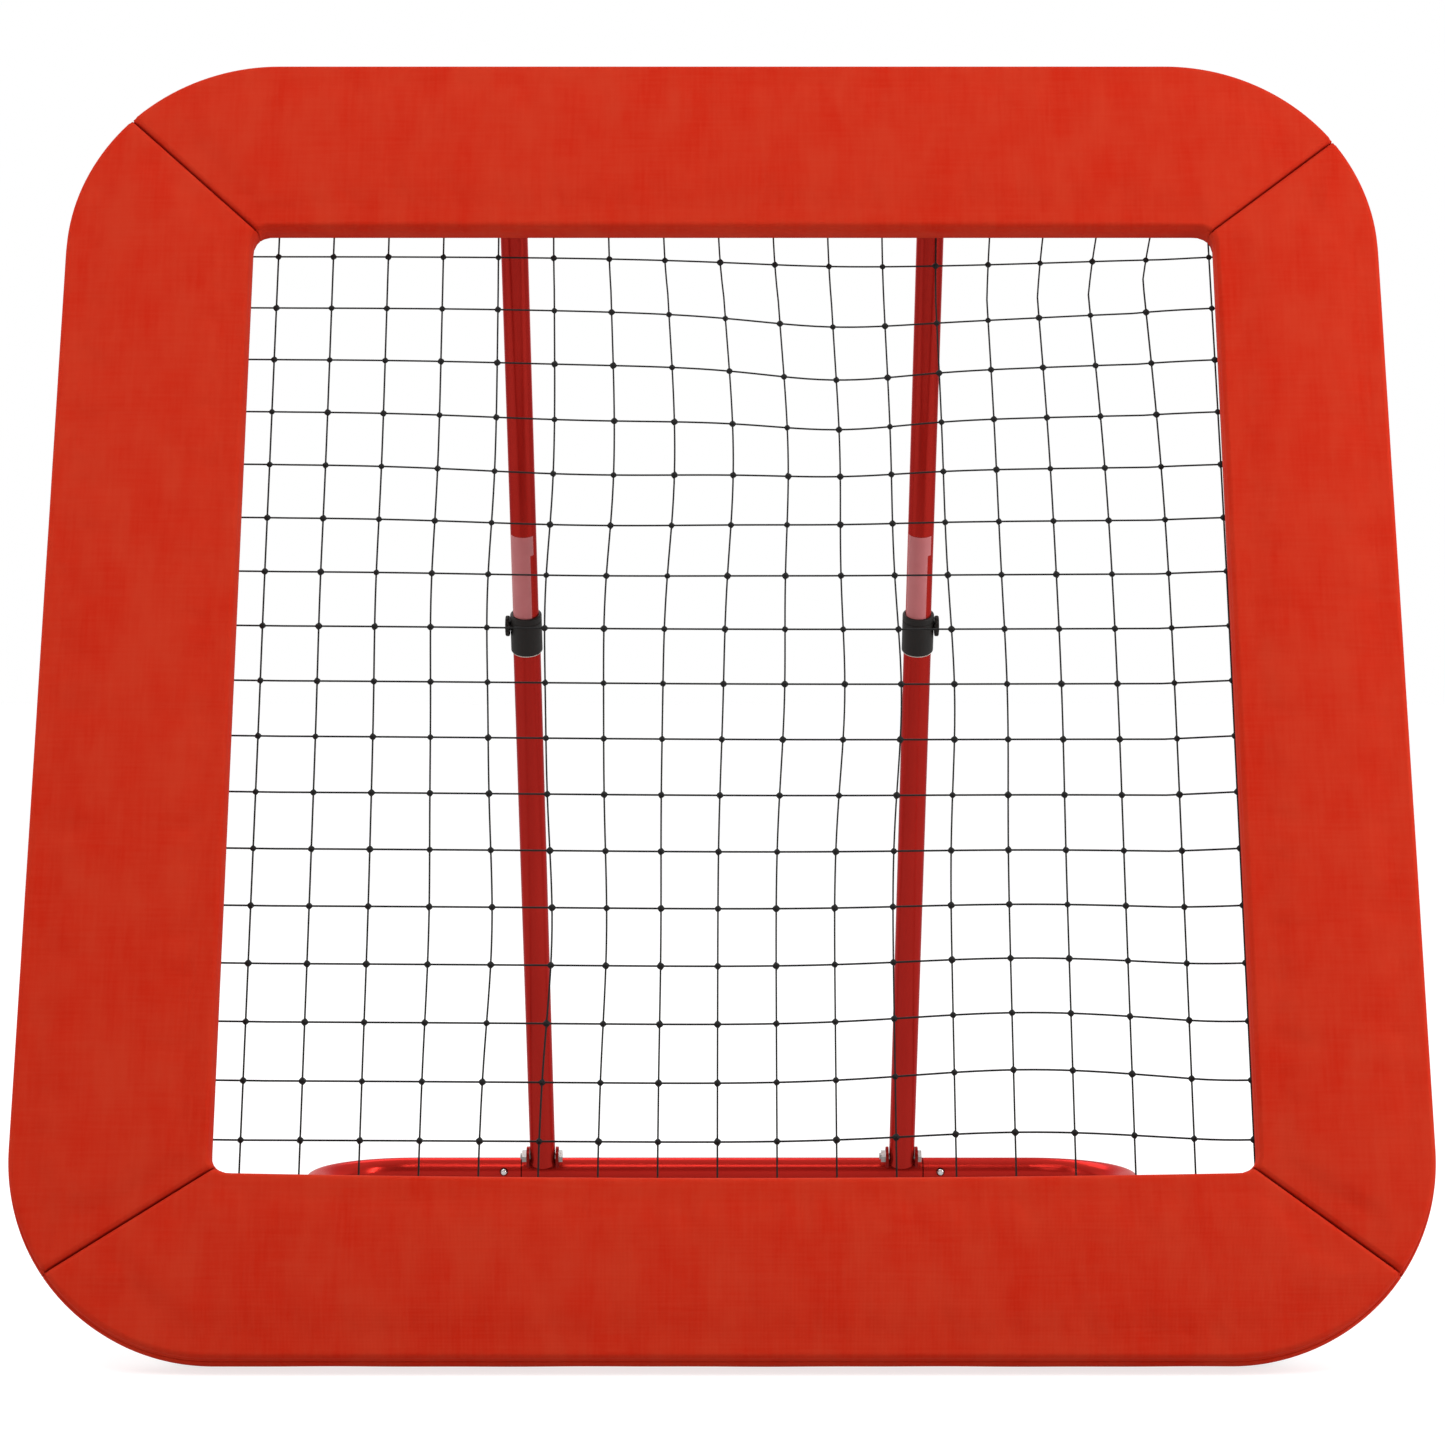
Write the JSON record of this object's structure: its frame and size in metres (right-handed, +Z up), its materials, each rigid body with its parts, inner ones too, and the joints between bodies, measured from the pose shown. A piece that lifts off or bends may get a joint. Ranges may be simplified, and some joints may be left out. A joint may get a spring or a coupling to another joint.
{
  "type": "pitch back rebounder",
  "caption": "Padded square net frame on a floor base, held leaning back by telescopic rear struts; returns a ball thrown at the net.",
  "frame": {"origin": "centre of the bounding box at floor level, at the reference pose", "axes": "+Z up, +X to the right seen from the padded face, +Y from the padded face towards the rear tube"},
  "size_m": [0.96, 0.8306, 0.9136],
  "materials": {
    "red_tube": "glossy red powder coat",
    "zinc": "bright zinc plate",
    "chrome": "bright chrome",
    "black_plastic": "matte moulded",
    "white_nylon": "natural nylon",
    "label": "translucent film",
    "pad_cover": "woven polyester, matte",
    "foam": "open cell foam",
    "net_cord": "knotted polyester cord",
    "webbing": "woven webbing"
  },
  "bodies": {
    "base": {"base_rear_tube": "red_tube", "base_side_tube_left": "red_tube", "base_side_tube_right": "red_tube", "front_foot_pads": "black_plastic", "hinge_bolts": "zinc", "hinge_nuts": "zinc", "leg_end_plugs": "black_plastic", "rear_foot_pads": "black_plastic", "snap_clip_left": "zinc", "snap_clip_right": "zinc", "strut_foot_bolts": "zinc", "strut_foot_bracket_left": "red_tube", "strut_foot_bracket_right": "red_tube", "strut_foot_nuts": "zinc"},
    "frame": {"frame_joint_screws": "zinc", "frame_tube_bottom_left": "red_tube", "frame_tube_bottom_right": "red_tube", "frame_tube_top_left": "red_tube", "frame_tube_top_right": "red_tube", "hinge_bracket_left": "red_tube", "hinge_bracket_right": "red_tube", "net": "net_cord", "net_border_rope": "net_cord", "net_springs_bottom": "zinc", "net_springs_left": "zinc", "net_springs_right": "zinc", "net_springs_top": "zinc", "pad_cover_bottom": "pad_cover", "pad_cover_left": "pad_cover", "pad_cover_right": "pad_cover", "pad_cover_top": "pad_cover", "pad_foam_bottom": "foam", "pad_foam_left": "foam", "pad_foam_right": "foam", "pad_foam_top": "foam", "pad_straps": "webbing", "strut_top_bracket_left": "red_tube", "strut_top_bracket_right": "red_tube"},
    "snap_button_left": {"snap_button_left": "chrome"},
    "strut_lower_left": {"strut_lower_tube_left": "red_tube", "strut_collar_left": "black_plastic", "strut_bush_left": "white_nylon"},
    "strut_upper_left": {"strut_upper_tube_left": "red_tube", "strut_label_left": "label", "strut_guide_plug_left": "black_plastic", "strut_top_plug_left": "black_plastic", "strut_pivot_bolt_left": "zinc"},
    "clamp_knob_left": {"clamp_knob_left": "black_plastic"},
    "snap_button_right": {"snap_button_right": "chrome"},
    "strut_lower_right": {"strut_lower_tube_right": "red_tube", "strut_collar_right": "black_plastic", "strut_bush_right": "white_nylon"},
    "strut_upper_right": {"strut_upper_tube_right": "red_tube", "strut_label_right": "label", "strut_guide_plug_right": "black_plastic", "strut_top_plug_right": "black_plastic", "strut_pivot_bolt_right": "zinc"},
    "clamp_knob_right": {"clamp_knob_right": "black_plastic"}
  },
  "joints": [
    {"name": "frame_tilt", "type": "hinge", "parent": "base", "child": "frame", "pos_m": [0, -0.34292, 0.0142], "axis": [-1, 0, 0], "range_deg": [0, 20]},
    {"name": "strut_swing_left", "type": "hinge", "parent": "base", "child": "strut_lower_left", "pos_m": [-0.1597, 0.38238, 0.0299], "axis": [-1, 0, 0], "range_deg": [0, 14.1]},
    {"name": "strut_slide_left", "type": "slide", "parent": "strut_lower_left", "child": "strut_upper_left", "axis": [0, 0.4699, -0.8827], "range_m": [0, 0.2378]},
    {"name": "clamp_knob_turn_left", "type": "hinge", "parent": "strut_lower_left", "child": "clamp_knob_left", "pos_m": [-0.1727, 0.13229, 0.49967], "axis": [-1, 0, 0], "range_deg": [0, 360]},
    {"name": "snap_button_press_left", "type": "slide", "parent": "base", "child": "snap_button_left", "axis": [0, 1, 0], "range_m": [0, 0.0043], "stiffness_N_per_m": 1500, "springref_m": -0.001, "deforming": ["snap_clip_left"]},
    {"name": "strut_swing_right", "type": "hinge", "parent": "base", "child": "strut_lower_right", "pos_m": [0.1597, 0.38238, 0.0299], "axis": [-1, 0, 0], "range_deg": [0, 14.1]},
    {"name": "strut_slide_right", "type": "slide", "parent": "strut_lower_right", "child": "strut_upper_right", "axis": [0, 0.4699, -0.8827], "range_m": [0, 0.2378]},
    {"name": "clamp_knob_turn_right", "type": "hinge", "parent": "strut_lower_right", "child": "clamp_knob_right", "pos_m": [0.1727, 0.13229, 0.49967], "axis": [1, 0, 0], "range_deg": [0, 360]},
    {"name": "snap_button_press_right", "type": "slide", "parent": "base", "child": "snap_button_right", "axis": [0, 1, 0], "range_m": [0, 0.0043], "stiffness_N_per_m": 1500, "springref_m": -0.001, "deforming": ["snap_clip_right"]}
  ],
  "couplings": [
    {"joint": "strut_swing_left", "follows": "frame_tilt", "ratio": 0.70109},
    {"joint": "strut_slide_left", "follows": "frame_tilt", "m_per_rad": 0.68014},
    {"joint": "strut_swing_right", "follows": "frame_tilt", "ratio": 0.70109},
    {"joint": "strut_slide_right", "follows": "frame_tilt", "m_per_rad": 0.68014}
  ]
}
